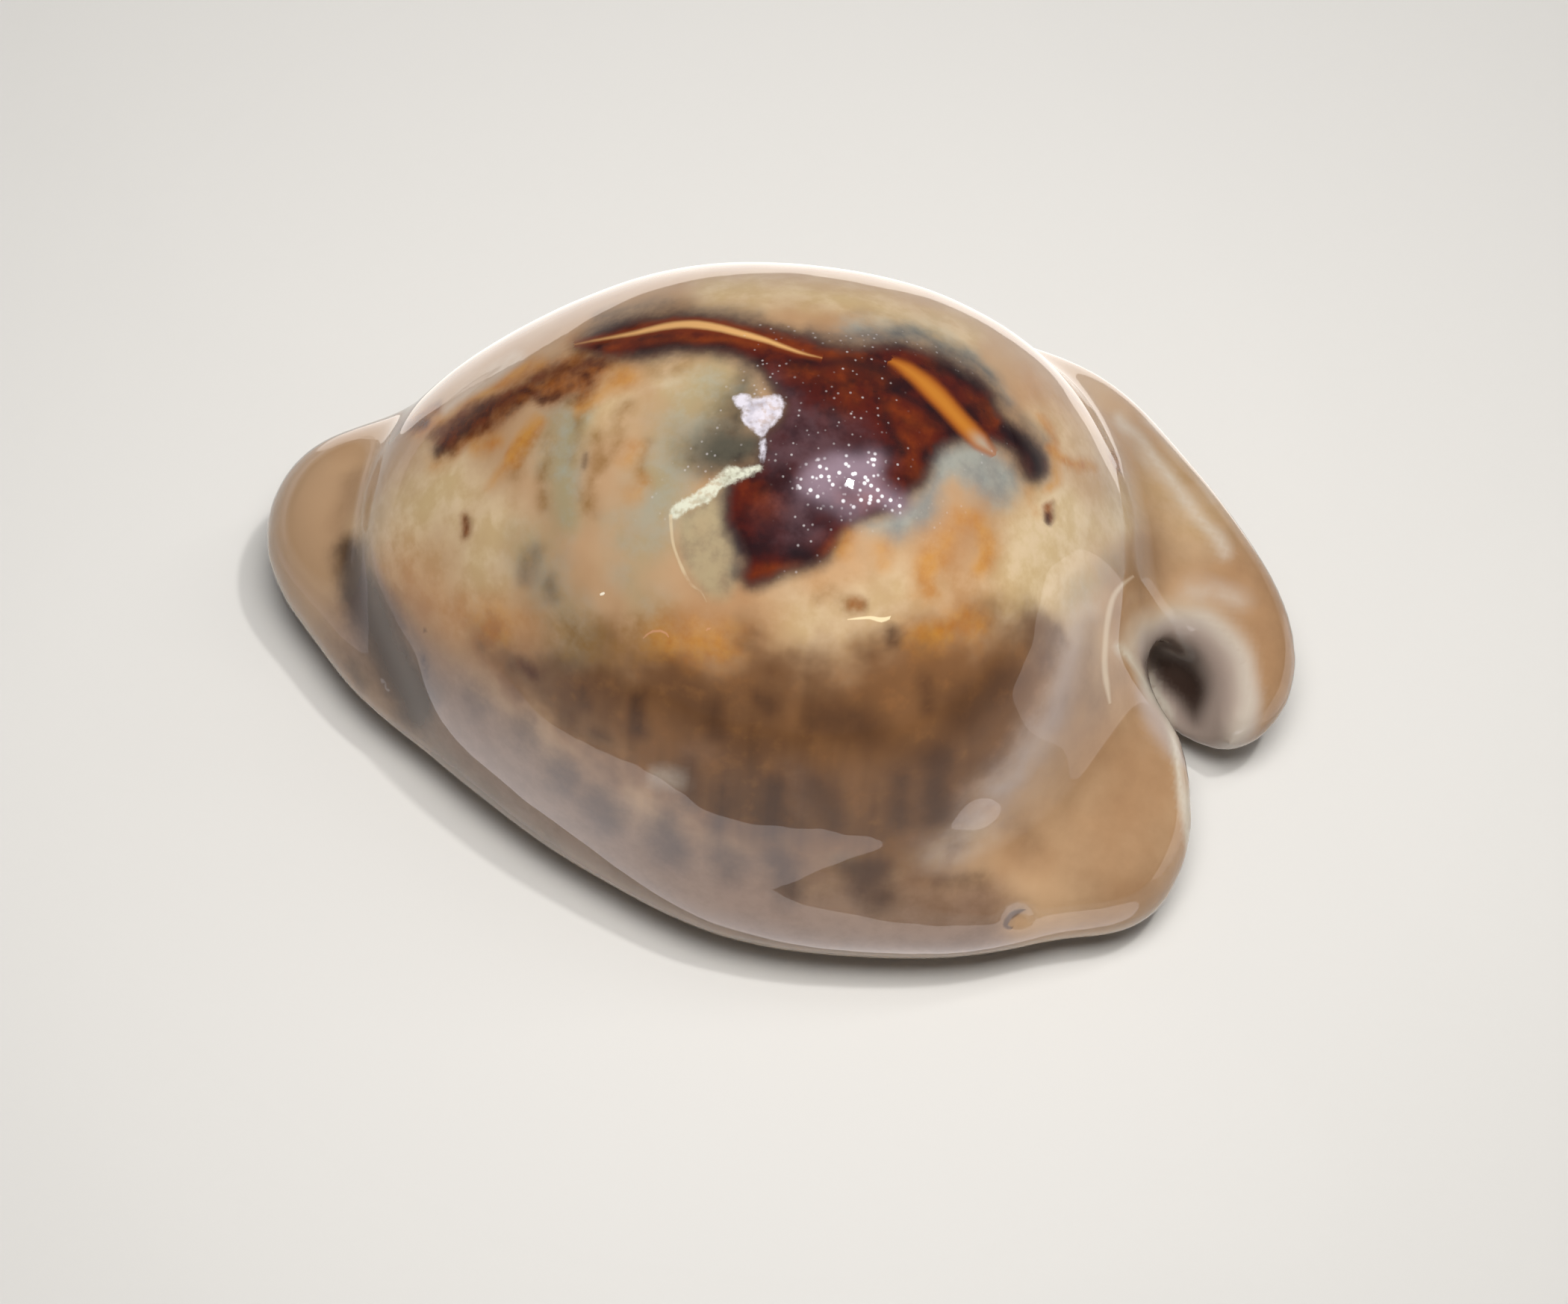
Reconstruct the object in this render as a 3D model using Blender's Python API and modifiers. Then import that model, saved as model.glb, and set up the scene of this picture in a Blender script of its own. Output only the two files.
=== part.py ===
"""A cowrie shell at its real size, one solid grown in one piece. It lies on its base with the back up.

+X runs from the front (anterior) end to the back (posterior) end, +Y towards the outer lip, +Z up through
the humped back. The origin is on the surface that the shell rests on, under the middle of its box.
Sizes below are in millimetres.
"""
import bmesh
import bpy
import numpy as np
from mathutils import Matrix

MM = 0.001

# The body whorl. Each station gives its place along X, the half width towards the outer lip, the half
# width towards the columella, the height of the crest and how far the crest leans to the outer lip.
BODY_FRONT = -21.2
BODY_BACK = 18.2
MARGIN_HEIGHT = 6.0
BASE_SAG = 5.8
FRONT_BLUNTNESS = 0.5
BACK_BLUNTNESS = 0.8
BODY_STATIONS = (
    (-21.2, 11.4, 9.0, 17.4, 0.8),
    (-15.0, 13.8, 11.2, 21.0, 0.8),
    (-8.0, 15.8, 13.8, 24.6, 0.7),
    (0.0, 16.5, 15.3, 26.3, 0.7),
    (6.0, 17.1, 15.6, 26.8, 0.8),
    (12.0, 17.8, 15.6, 25.4, 0.9),
    (18.2, 17.4, 14.6, 20.0, 1.2),
)
TOP_WALL = 2.2
SIDE_WALL = 3.4
FRONT_WALL = 6.8
BACK_WALL = 4.6
FLOOR = 5.0

# Callused edges. Each point of a route is x, y, z and the radius of the roll there.
OUTER_MARGIN = (
    (-22.6, 2.2, 5.2, 3.0),
    (-20.2, 4.9, 5.2, 3.0),
    (-15.5, 8.2, 5.4, 3.9),
    (-10.0, 10.0, 5.4, 4.4),
    (0.0, 12.6, 5.8, 4.9),
    (10.0, 12.9, 6.6, 4.8),
    (15.5, 10.1, 7.0, 3.9),
    (19.2, 7.2, 7.0, 3.4),
    (21.8, 5.0, 6.7, 2.9),
    (23.0, 2.9, 5.9, 2.6),
    (22.8, 1.5, 5.0, 2.5),
    (21.8, 0.8, 4.2, 2.4),
    (20.0, 1.0, 3.8, 2.3),
    (18.0, 2.0, 3.8, 2.3),
)
# The base of the outer lip behind the mouth, under the hook.
LIP_BASE = (
    (8.0, 8.0, 4.0, 3.4),
    (14.0, 6.6, 3.8, 3.3),
    (18.0, 4.8, 3.7, 3.1),
    (20.8, 2.8, 3.6, 2.5),
)
INNER_MARGIN = (
    (-22.9, 0.6, 5.4, 3.1),
    (-20.2, -2.6, 5.0, 3.1),
    (-17.4, -5.0, 4.8, 3.1),
    (-10.0, -7.7, 5.0, 4.2),
    (0.0, -11.3, 5.4, 4.9),
    (8.0, -11.2, 5.2, 4.6),
    (12.5, -10.8, 4.8, 3.8),
    (15.2, -9.9, 4.5, 3.2),
)
WING_RIM = (
    (15.4, -9.2, 4.4, 3.4),
    (18.0, -8.2, 4.4, 3.9),
    (19.4, -6.0, 5.1, 2.8),
    (19.4, -3.4, 6.6, 2.0),
    (18.7, -1.1, 8.2, 1.6),
    (16.6, 0.8, 9.2, 1.6),
)
WING_CENTRE = (14.0, -5.4, 5.6)
WING_RADII = (6.6, 6.4, 4.2)
# The callus that fills the dip between the humped back and the bowl behind it.
SADDLE_CENTRE = (16.8, 3.4, 7.4)
SADDLE_RADII = (3.6, 4.6, 3.6)
FRONT_LOBE_CENTRE = (-20.2, 1.5, 5.6)
FRONT_LOBE_RADII = (6.1, 6.0, 5.4)

# The room inside and the ways out of it.
BACK_CANAL = (
    (9.0, 2.0, 7.0, 2.2),
    (14.0, 2.4, 5.8, 2.1),
    (17.4, 2.2, 5.1, 2.1),
    (19.3, 1.2, 5.3, 2.1),
    (20.6, -0.2, 6.3, 1.9),
)
BACK_BOWL_CENTRE = (20.5, 0.6, 9.6)
BACK_BOWL_RADII = (3.5, 2.75, 3.2)
FRONT_CANAL = (
    (-9.0, 2.0, 9.0, 2.8),
    (-13.0, 1.7, 6.4, 2.6),
    (-17.0, 1.5, 3.6, 2.4),
    (-21.0, 1.3, 1.6, 2.4),
    (-28.0, 1.0, 0.4, 2.8),
)
# The mouth in plan, from front to back: x, y and half width.
MOUTH = (
    (-18.6, 1.4, 0.4),
    (-17.6, 1.5, 1.7),
    (-15.6, 1.6, 2.4),
    (-12.0, 1.8, 2.7),
    (-6.0, 2.2, 2.6),
    (3.0, 2.7, 1.8),
    (10.0, 2.4, 1.2),
    (14.5, 1.4, 1.0),
    (17.2, 0.1, 0.9),
    (20.2, -1.6, 0.9),
    (22.4, -3.0, 0.9),
    (25.0, -4.8, 1.2),
)
MOUTH_TOP = 6.0
LIP_FLARE = 0.9
LIP_HEIGHT = 1.3
# The gap between the hook of the outer lip and the wing, in plan.
BACK_GAP = (
    (20.9, -1.2, 0.7),
    (22.4, -2.6, 0.9),
    (25.0, -4.8, 1.2),
)
BACK_GAP_TOP = 12.0
UNDERSIDE = -3.0

# Shallow grooves worked into the outer surface: the routes run x, y, z, reach.
COLLAR = (
    (-20.6, 4.2, 11.2, 1.6),
    (-21.0, 1.1, 11.3, 1.7),
    (-20.2, -2.8, 11.0, 1.9),
    (-18.6, -5.8, 9.8, 2.0),
    (-17.1, -8.0, 7.6, 2.0),
    (-16.2, -9.1, 5.7, 1.8),
)
COLLAR_DEPTH = 0.5
# How much of the lowest part of the base is worn flat.
REST_WEAR = 0.3

GLAZE_COLOUR = (0.45, 0.32, 0.21)
GLAZE_ROUGHNESS = 0.18

FUSE_VOXEL = 0.55
LIP_VOXEL = 0.42
SKIN_POLISH = 24
LIP_POLISH = 10
FACES_KEPT = 9400


def along(stations, x, column):
    """One column of the stations at x, on a smooth curve through them."""
    places = np.array([row[0] for row in stations])
    values = np.array([row[column] for row in stations])
    slopes = np.gradient(values, places)
    i = np.clip(np.searchsorted(places, x) - 1, 0, len(places) - 2)
    gap = places[i + 1] - places[i]
    t = np.clip((x - places[i]) / gap, 0, 1)
    leaving = (1 + 2 * t) * (1 - t) ** 2 * values[i] + t * (1 - t) ** 2 * gap * slopes[i]
    arriving = t * t * (3 - 2 * t) * values[i + 1] + t * t * (t - 1) * gap * slopes[i + 1]
    return leaving + arriving


def through(route, per_span=6):
    """Points on a smooth curve through the route's own points, radii included."""
    knots = np.array(route, dtype=float)
    slopes = np.gradient(knots, axis=0)
    points = []
    for i in range(len(knots) - 1):
        for t in np.arange(per_span) / per_span:
            leaving = (1 + 2 * t) * (1 - t) ** 2 * knots[i] + t * (1 - t) ** 2 * slopes[i]
            arriving = t * t * (3 - 2 * t) * knots[i + 1] + t * t * (t - 1) * slopes[i + 1]
            points.append(leaving + arriving)
    points.append(knots[-1])
    return np.array(points)


def linked(name, mesh, collection):
    made = bpy.data.objects.new(name, mesh)
    collection.objects.link(made)
    return made


def read_points(mesh):
    co = np.empty(len(mesh.vertices) * 3)
    mesh.vertices.foreach_get("co", co)
    return co.reshape(-1, 3)


def shaped_ball(name, shape, collection, segments=96, rings=64):
    """A UV sphere with its poles turned onto X, whose points shape() then places in millimetres."""
    mesh = bpy.data.meshes.new(name)
    ball = bmesh.new()
    bmesh.ops.create_uvsphere(ball, u_segments=segments, v_segments=rings, radius=1.0)
    ball.to_mesh(mesh)
    ball.free()
    unit = read_points(mesh)[:, (2, 0, 1)]
    mesh.vertices.foreach_set("co", (shape(unit) * MM).ravel())
    mesh.update()
    return linked(name, mesh, collection)


def lump(name, centre, radii, collection, spin=0.0, tilt=0.0):
    """An ellipsoid, spun about its own upright axis and then tilted about X, both in degrees."""
    turn = Matrix.Rotation(np.radians(tilt), 3, "X") @ Matrix.Rotation(np.radians(spin), 3, "Z")
    turn = np.array(turn)
    return shaped_ball(name, lambda unit: (unit * radii) @ turn.T + np.array(centre), collection, 48, 32)


def roll(name, route, collection):
    """A round roll or bore through the route's points (x, y, z, radius), as a closed mesh."""
    curve = bpy.data.curves.new(name, "CURVE")
    curve.dimensions = "3D"
    curve.bevel_depth = MM
    curve.bevel_resolution = 6
    curve.use_fill_caps = True
    points = through(route)
    spline = curve.splines.new("POLY")
    spline.points.add(len(points) - 1)
    for point, (x, y, z, radius) in zip(spline.points, points):
        point.co = (x * MM, y * MM, z * MM, 1)
        point.radius = radius
    guide = linked(name + "_guide", curve, collection)
    graph = bpy.context.evaluated_depsgraph_get()
    mesh = bpy.data.meshes.new_from_object(guide.evaluated_get(graph))
    bpy.data.objects.remove(guide)
    weld = bmesh.new()
    weld.from_mesh(mesh)
    bmesh.ops.remove_doubles(weld, verts=weld.verts, dist=0.001 * MM)
    bmesh.ops.recalc_face_normals(weld, faces=weld.faces)
    weld.to_mesh(mesh)
    weld.free()
    return linked(name, mesh, collection)


def slot(name, plan, flare, low, high, collection):
    """An upright slot along the plan's points (x, y, half width), wider by flare, from low to high."""
    line = through(plan)
    line[:, 2] += flare
    run = np.gradient(line[:, :2], axis=0)
    side = np.stack([-run[:, 1], run[:, 0]], axis=1) / np.linalg.norm(run, axis=1)[:, None]
    left = line[:, :2] + side * line[:, 2:]
    right = line[:, :2] - side * line[:, 2:]
    outline = bpy.data.curves.new(name, "CURVE")
    outline.dimensions = "2D"
    outline.fill_mode = "BOTH"
    outline.extrude = (high - low) / 2 * MM
    spline = outline.splines.new("POLY")
    corners = list(right) + list(left[::-1])
    spline.points.add(len(corners) - 1)
    for point, (x, y) in zip(spline.points, corners):
        point.co = (x * MM, y * MM, 0, 1)
    spline.use_cyclic_u = True
    guide = linked(name + "_guide", outline, collection)
    graph = bpy.context.evaluated_depsgraph_get()
    mesh = bpy.data.meshes.new_from_object(guide.evaluated_get(graph))
    bpy.data.objects.remove(guide)
    weld = bmesh.new()
    weld.from_mesh(mesh)
    bmesh.ops.remove_doubles(weld, verts=weld.verts, dist=0.001 * MM)
    bmesh.ops.translate(weld, verts=weld.verts, vec=(0, 0, (low + high) / 2 * MM))
    bmesh.ops.recalc_face_normals(weld, faces=weld.faces)
    weld.to_mesh(mesh)
    weld.free()
    return linked(name, mesh, collection)


def whorl(unit, top=0.0, side=0.0, front=0.0, back=0.0, floor=MARGIN_HEIGHT - BASE_SAG):
    """The inflated last whorl: a blunt egg with its hump towards the back and a flattened base. The
    walls top, side, front and back draw it in, and floor is how low it reaches.
    """
    start = BODY_FRONT + front
    stop = BODY_BACK - back
    x = (start + stop) / 2 + (stop - start) / 2 * unit[:, 0]
    girth = np.sqrt(np.maximum(unit[:, 1] ** 2 + unit[:, 2] ** 2, 1e-12))
    full = girth ** np.where(unit[:, 0] < 0, FRONT_BLUNTNESS, BACK_BLUNTNESS)
    across = unit[:, 1] / girth
    up = np.maximum(unit[:, 2] / girth, 0)
    down = np.maximum(-unit[:, 2] / girth, 0)
    width = np.where(across > 0, along(BODY_STATIONS, x, 1), along(BODY_STATIONS, x, 2)) - side
    middle = max(MARGIN_HEIGHT, floor + 2)
    rise = along(BODY_STATIONS, x, 3) - top - middle
    y = across * width * full + along(BODY_STATIONS, x, 4) * up * girth
    z = middle + rise * up * full - (middle - floor) * down ** 0.4 * girth ** 0.5
    return np.stack([x, y, z], axis=1)


def build_blockout(collection):
    return [
        shaped_ball("body_whorl", whorl, collection),
        lump("front_lobe", FRONT_LOBE_CENTRE, FRONT_LOBE_RADII, collection),
        roll("outer_margin", OUTER_MARGIN, collection),
        roll("lip_base", LIP_BASE, collection),
        roll("inner_margin", INNER_MARGIN, collection),
        roll("wing_rim", WING_RIM, collection),
        lump("wing", WING_CENTRE, WING_RADII, collection, tilt=28),
        lump("saddle", SADDLE_CENTRE, SADDLE_RADII, collection),
    ]


def room(unit):
    return whorl(unit, TOP_WALL, SIDE_WALL, FRONT_WALL, BACK_WALL, FLOOR)


def build_hollow(collection):
    return [
        shaped_ball("cavity", room, collection),
        roll("back_canal", BACK_CANAL, collection),
        lump("back_bowl", BACK_BOWL_CENTRE, BACK_BOWL_RADII, collection, spin=-50, tilt=30),
        roll("front_canal", FRONT_CANAL, collection),
        slot("mouth", MOUTH, 0.0, UNDERSIDE, MOUTH_TOP, collection),
        slot("mouth_lips", MOUTH, LIP_FLARE, UNDERSIDE, LIP_HEIGHT, collection),
        slot("back_gap", BACK_GAP, 0.0, UNDERSIDE, BACK_GAP_TOP, collection),
    ]


def one_skin(name, pieces, collection, voxel, polish):
    """One closed skin round all the pieces, which are used up, with the joins smoothed."""
    whole = bmesh.new()
    for piece in pieces:
        whole.from_mesh(piece.data)
        bpy.data.objects.remove(piece)
    mesh = bpy.data.meshes.new(name)
    whole.to_mesh(mesh)
    whole.free()
    made = linked(name, mesh, collection)
    refine(made, voxel, polish)
    return made


def refine(obj, voxel, polish):
    skin = obj.modifiers.new("Skin", "REMESH")
    skin.mode = "VOXEL"
    skin.voxel_size = voxel * MM
    soft = obj.modifiers.new("Polish", "SMOOTH")
    soft.iterations = polish
    soft.factor = 0.5
    bake(obj)


def press(obj, route, depth):
    """The surface along the route (x, y, z, reach) pushed in by depth, fading out softly at its reach."""
    mesh = obj.data
    points = read_points(mesh) / MM
    normals = np.empty(points.size)
    mesh.vertices.foreach_get("normal", normals)
    line = through(route)
    pull = np.zeros(len(points))
    for x, y, z, reach in line:
        away = np.linalg.norm(points - (x, y, z), axis=1) / reach
        pull = np.maximum(pull, np.clip(1 - away * away, 0, 1) ** 2)
    moved = points - normals.reshape(-1, 3) * (pull * depth)[:, None]
    mesh.vertices.foreach_set("co", (moved * MM).ravel())
    mesh.update()


def set_down(obj):
    """The lowest part of the base worn flat, then the middle of the box put over the origin."""
    points = read_points(obj.data)
    ground = points[:, 2].min() + REST_WEAR * MM
    points[:, 2] = np.maximum(points[:, 2], ground) - ground
    points[:, :2] -= (points[:, :2].min(axis=0) + points[:, :2].max(axis=0)) / 2
    obj.data.vertices.foreach_set("co", points.ravel())
    obj.data.update()


def glaze(obj):
    skin = bpy.data.materials.new("shell_glaze")
    skin.use_nodes = True
    gloss = skin.node_tree.nodes["Principled BSDF"]
    gloss.inputs["Base Color"].default_value = (*GLAZE_COLOUR, 1.0)
    gloss.inputs["Roughness"].default_value = GLAZE_ROUGHNESS
    gloss.inputs["Metallic"].default_value = 0.0
    obj.data.materials.append(skin)


def bake(obj):
    """The object's modifiers applied to its mesh."""
    graph = bpy.context.evaluated_depsgraph_get()
    mesh = bpy.data.meshes.new_from_object(obj.evaluated_get(graph))
    obj.modifiers.clear()
    obj.data = mesh


def main():
    for old in list(bpy.data.objects):
        bpy.data.objects.remove(old)
    shells = bpy.data.collections.new("Cowrie")
    helpers = bpy.data.collections.new("Cutters")
    for collection in (shells, helpers):
        bpy.context.scene.collection.children.link(collection)
    shell = one_skin("shell", build_blockout(shells), shells, FUSE_VOXEL, SKIN_POLISH)
    press(shell, COLLAR, COLLAR_DEPTH)
    hollow = one_skin("hollow", build_hollow(helpers), helpers, FUSE_VOXEL, 4)
    hollow.hide_render = True
    hollow.display_type = "WIRE"
    cut = shell.modifiers.new("Hollow", "BOOLEAN")
    cut.object = hollow
    cut.operation = "DIFFERENCE"
    bake(shell)
    refine(shell, LIP_VOXEL, LIP_POLISH)
    thin = shell.modifiers.new("Thin", "DECIMATE")
    thin.ratio = FACES_KEPT / (2 * len(shell.data.polygons))
    bake(shell)
    set_down(shell)
    shell.data.shade_smooth()
    glaze(shell)


main()
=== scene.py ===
import math

import bmesh
import bpy
import numpy as np
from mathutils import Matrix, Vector, noise
from mathutils.bvhtree import BVHTree


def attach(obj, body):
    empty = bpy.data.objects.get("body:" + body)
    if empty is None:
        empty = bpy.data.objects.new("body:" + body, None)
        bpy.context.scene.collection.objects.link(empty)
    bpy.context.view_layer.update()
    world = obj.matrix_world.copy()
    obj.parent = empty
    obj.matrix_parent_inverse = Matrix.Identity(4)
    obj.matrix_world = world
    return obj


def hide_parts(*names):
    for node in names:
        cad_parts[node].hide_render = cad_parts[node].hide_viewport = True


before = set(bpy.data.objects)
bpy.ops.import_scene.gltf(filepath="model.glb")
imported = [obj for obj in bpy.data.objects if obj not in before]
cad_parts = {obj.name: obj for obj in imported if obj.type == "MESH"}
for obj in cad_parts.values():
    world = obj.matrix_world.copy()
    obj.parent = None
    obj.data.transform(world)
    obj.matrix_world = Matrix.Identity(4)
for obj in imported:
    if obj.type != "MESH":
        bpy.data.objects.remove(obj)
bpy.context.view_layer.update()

# The shell. A cowrie grows as one piece of hard lime, and the animal polishes its outside and lays on the
# last coats of glaze. The solid is taken as it is, given a fine skin and polished. Sizes are in millimetres.
MM = 0.001
WELD = 0.005
SKIN_VOXEL = 0.38


def points_of(mesh):
    """The mesh's points in millimetres, one row each."""
    flat = np.empty(len(mesh.vertices) * 3)
    mesh.vertices.foreach_get("co", flat)
    return flat.reshape(-1, 3) / MM


def put_points(mesh, points):
    mesh.vertices.foreach_set("co", (points * MM).ravel())
    mesh.update()


def normals_of(mesh):
    flat = np.empty(len(mesh.vertices) * 3)
    mesh.vertices.foreach_get("normal", flat)
    return flat.reshape(-1, 3)


def edges_of(mesh):
    pairs = np.empty(len(mesh.edges) * 2, dtype=np.int64)
    mesh.edges.foreach_get("vertices", pairs)
    return pairs.reshape(-1, 2)


def towards_neighbours(values, edges):
    """For each point, the step from its own value to the mean of its neighbours' values."""
    near, far = edges[:, 0], edges[:, 1]
    count = np.bincount(edges.ravel(), minlength=len(values))
    total = [
        np.bincount(near, column[far], len(values)) + np.bincount(far, column[near], len(values))
        for column in values.T
    ]
    return np.stack(total, axis=1) / count[:, None] - values


def evened(values, edges, passes, pull=0.5):
    """The values, each pulled towards the mean of its neighbours' values a number of times over."""
    for _ in range(passes):
        values = values + pull * towards_neighbours(values, edges)
    return values


merged = bmesh.new()
merged.from_mesh(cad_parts["shell"].data)
bmesh.ops.remove_doubles(merged, verts=merged.verts, dist=WELD * MM)
rough_mesh = bpy.data.meshes.new("cowrie_rough")
merged.to_mesh(rough_mesh)
merged.free()
cowrie = bpy.data.objects.new("cowrie", rough_mesh)
bpy.context.scene.collection.objects.link(cowrie)
skin = cowrie.modifiers.new("Skin", "REMESH")
skin.mode = "VOXEL"
skin.voxel_size = SKIN_VOXEL * MM
skinned = cowrie.evaluated_get(bpy.context.evaluated_depsgraph_get())
shell_mesh = bpy.data.meshes.new_from_object(skinned)
cowrie.modifiers.clear()
cowrie.data = shell_mesh

# The broad faces are polished for long, the thin lips and rims only a little, so that they stay thin.
FIRST_PASSES = 6
BEND_PASSES = 12
POLISH_PASSES = 60
SHARP_BEND = 0.035
edges = edges_of(shell_mesh)
points = evened(points_of(shell_mesh), edges, FIRST_PASSES)
bend = np.linalg.norm(towards_neighbours(points, edges), axis=1)[:, None]
bend = evened(bend, edges, BEND_PASSES)
points = evened(points, edges, POLISH_PASSES, pull=0.5 / (1 + (bend / SHARP_BEND) ** 2))
put_points(shell_mesh, points)

# The glaze is laid in many coats and is never quite even, which makes the edges of its highlights wavy.
WAVE = 1.9
WAVE_DEPTH = 0.014
waves = np.array([noise.noise(Vector(point) / WAVE) for point in points])
points += WAVE_DEPTH * waves[:, None] * normals_of(shell_mesh)
put_points(shell_mesh, points)

# Where a mark lies on the shell is given as it is seen from one place above the columellar side, in the
# pixels of a picture of that size.
AZIMUTH = 12.0
ELEVATION = 60.0
AIM = (1.12, -2.92, 7.48)
DISTANCE = 350.0
LENS = 167.0
SENSOR = 36.0
PICTURE = (2100, 1746)

back = np.array((
    math.sin(math.radians(AZIMUTH)) * math.cos(math.radians(ELEVATION)),
    -math.cos(math.radians(AZIMUTH)) * math.cos(math.radians(ELEVATION)),
    math.sin(math.radians(ELEVATION)),
))
right = np.array((math.cos(math.radians(AZIMUTH)), math.sin(math.radians(AZIMUTH)), 0.0))
up = np.cross(back, right)
eye = np.array(AIM) + back * DISTANCE


def chart(points):
    """Where the points are seen, in pixels."""
    line = points - eye
    far = -(line @ back)
    scale = LENS / SENSOR * PICTURE[0] / far
    return np.stack([
        PICTURE[0] / 2 + line @ right * scale,
        PICTURE[1] / 2 - line @ up * scale,
    ], axis=1)


places = chart(points)

# A small chip is broken out of the glaze low on the callus.
CHIP = (1366, 1230)
CHIP_REACH = 15
CHIP_DEPTH = 0.4
CHIP_FACING = 0.1
normals = normals_of(shell_mesh)
chipped = np.exp(-((places - CHIP) ** 2).sum(axis=1) / CHIP_REACH ** 2) * (normals @ back > CHIP_FACING)
points -= CHIP_DEPTH * chipped[:, None] * normals
put_points(shell_mesh, points)

# The part of the skin that carries the fine marks is made finer.
MARKED = ((560, 405), (1430, 830))
MARKED_FACING = 0.25
finer = bmesh.new()
finer.from_mesh(shell_mesh)
marked = ((places > MARKED[0]) & (places < MARKED[1])).all(axis=1)
marked &= normals_of(shell_mesh) @ back > MARKED_FACING
fine_edges = [edge for edge in finer.edges if all(marked[vert.index] for vert in edge.verts)]
divided = bmesh.ops.subdivide_edges(finer, edges=fine_edges, cuts=1, use_grid_fill=True)["geom_inner"]
added = [item for item in divided if isinstance(item, bmesh.types.BMVert)]
bmesh.ops.smooth_vert(finer, verts=added, factor=0.5, use_axis_x=True, use_axis_y=True, use_axis_z=True)
finer.to_mesh(shell_mesh)
blocks = BVHTree.FromBMesh(finer)
finer.free()
points = points_of(shell_mesh)
normals = normals_of(shell_mesh)
edges = edges_of(shell_mesh)
places = chart(points)
sight = (eye - points) / np.linalg.norm(eye - points, axis=1)[:, None]
facing = (normals * sight).sum(axis=1)

# No mark goes on a place that another part of the shell hides. A line to the eye starts just off the skin.
OFF_SKIN = 0.12
CLEAR_PASSES = 3
CLEAR_SHARE = 0.3
clear = np.array([
    blocks.ray_cast(Vector(start), Vector(line))[0] is None
    for start, line in zip((points + OFF_SKIN * normals) * MM, sight)
], dtype=float)[:, None]
clear = evened(clear, edges, CLEAR_PASSES)[:, 0]
shown = (facing > 0) & (clear > CLEAR_SHARE)

# The edges of clouds wander a little: they are looked up at places that noise has moved by some pixels.
# Without a seed this kind of noise is different in every run.
PIXELS_TO_MM = DISTANCE * SENSOR / (LENS * PICTURE[0])
WOBBLE = 9.0
WOBBLE_LENGTH = 1.9
WOBBLE_SEED = 7
noise.seed_set(WOBBLE_SEED)
drift = np.array([noise.noise_vector(Vector(point) / WOBBLE_LENGTH)[:2] for point in points])
clouded_places = places + WOBBLE * drift


def curve_through(corners, closed=False, per_span=6):
    """Points on a smooth curve through the corners."""
    knots = np.array(corners, dtype=float)
    if closed:
        knots = np.concatenate([knots[-1:], knots, knots[:2]])
    else:
        knots = np.concatenate([2 * knots[:1] - knots[1:2], knots, 2 * knots[-1:] - knots[-2:-1]])
    made = []
    for a, b, c, d in zip(knots[:-3], knots[1:-2], knots[2:-1], knots[3:]):
        for t in np.arange(per_span) / per_span:
            made.append(0.5 * (
                2 * b + (c - a) * t
                + (2 * a - 5 * b + 4 * c - d) * t ** 2
                + (3 * b - a - 3 * c + d) * t ** 3))
    if not closed:
        made.append(knots[-2])
    return np.array(made)


def soft_step(values):
    """0 below 0, 1 above 1 and smooth between them."""
    held = np.clip(values, 0, 1)
    return held * held * (3 - 2 * held)


# Tints fade out where the shell turns out of sight.
TURNING = 0.14
in_sight = soft_step(facing / TURNING + 0.3) * soft_step(clear * 2)


def across(route, seen):
    """The signed distance of each place from a route, in pixels, and the share of the route's length that it
    is beside. Places to the right of the route count as more than 0."""
    best = np.full(len(seen), 1e9)
    side = np.zeros(len(seen))
    share = np.zeros(len(seen))
    runs = np.diff(route, axis=0)
    lengths = np.hypot(runs[:, 0], runs[:, 1])
    starts = np.concatenate([[0], np.cumsum(lengths)])
    for start, run, length, before in zip(route[:-1], runs, lengths, starts):
        gap = seen - start
        t = np.clip((gap @ run) / max(length ** 2, 1e-9), 0, 1)
        off = np.hypot(*(gap - t[:, None] * run).T)
        nearer = off < best
        best[nearer] = off[nearer]
        side[nearer] = (np.sign(run[0] * gap[:, 1] - run[1] * gap[:, 0]) * off)[nearer]
        share[nearer] = ((before + t * length) / starts[-1])[nearer]
    return side, share


# Distances from marks are kept up to this one, in millimetres.
FARTHEST = 3.0


def within(outline, seen=places):
    """How far each point of the shell is inside a closed outline, in millimetres. Outside it is less than 0,
    and out of sight it is far less."""
    ring = curve_through(outline, closed=True)
    side, _ = across(np.concatenate([ring, ring[:1]]), seen)
    inside = np.zeros(len(seen), dtype=bool)
    for (u0, v0), (u1, v1) in zip(ring, np.roll(ring, -1, axis=0)):
        if v0 != v1:
            crosses = (v0 > seen[:, 1]) != (v1 > seen[:, 1])
            inside ^= crosses & (seen[:, 0] < u0 + (seen[:, 1] - v0) / (v1 - v0) * (u1 - u0))
    signed = np.where(inside, np.abs(side), -np.abs(side)) * PIXELS_TO_MM
    return np.where(shown, signed, np.minimum(signed, -FARTHEST))


def keep(name, values):
    """Stores one number for each point of the shell, for the glaze to read."""
    layer = shell_mesh.attributes.new(name, "FLOAT", "POINT")
    layer.data.foreach_set("value", values.astype(np.float32))


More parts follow.
